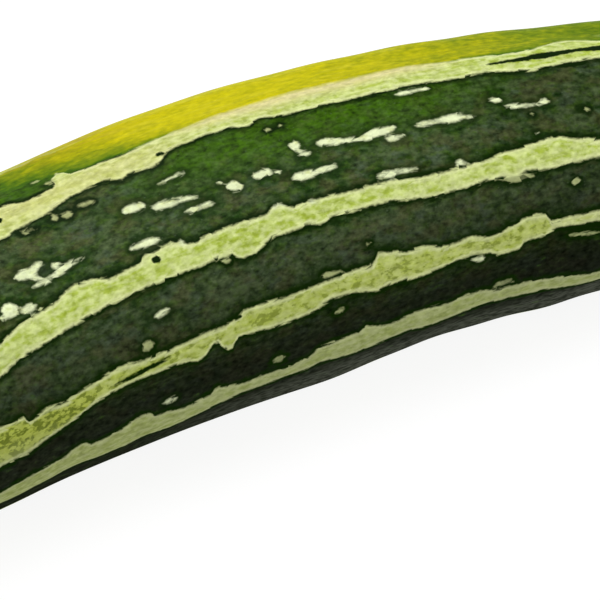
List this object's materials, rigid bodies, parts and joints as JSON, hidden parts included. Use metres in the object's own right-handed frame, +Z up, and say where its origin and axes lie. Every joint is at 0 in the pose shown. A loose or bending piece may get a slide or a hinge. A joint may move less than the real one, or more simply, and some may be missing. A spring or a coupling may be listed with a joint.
{
  "type": "zucchini",
  "caption": "Large striped zucchini lying on its side: a long, gently bent fruit with shallow ridges, a rounded blossom end and a short ridged stem, cut flat.",
  "frame": {"origin": "middle of the footprint's box, on the surface that the fruit lies on", "axes": "+X along the fruit from the blossom end to the stem, +Z up, and the hollow side of the bend faces -Y"},
  "size_m": [0.3282, 0.076, 0.0701],
  "materials": {
    "striped_skin": "waxy satin rind, dark green with broken pale green stripes and a yellow ground spot",
    "stem_rind": "dull green fibrous stem with ridges and a dry cut face"
  },
  "bodies": {
    "root": {"fruit": "striped_skin", "stem": "stem_rind"}
  },
  "joints": []
}
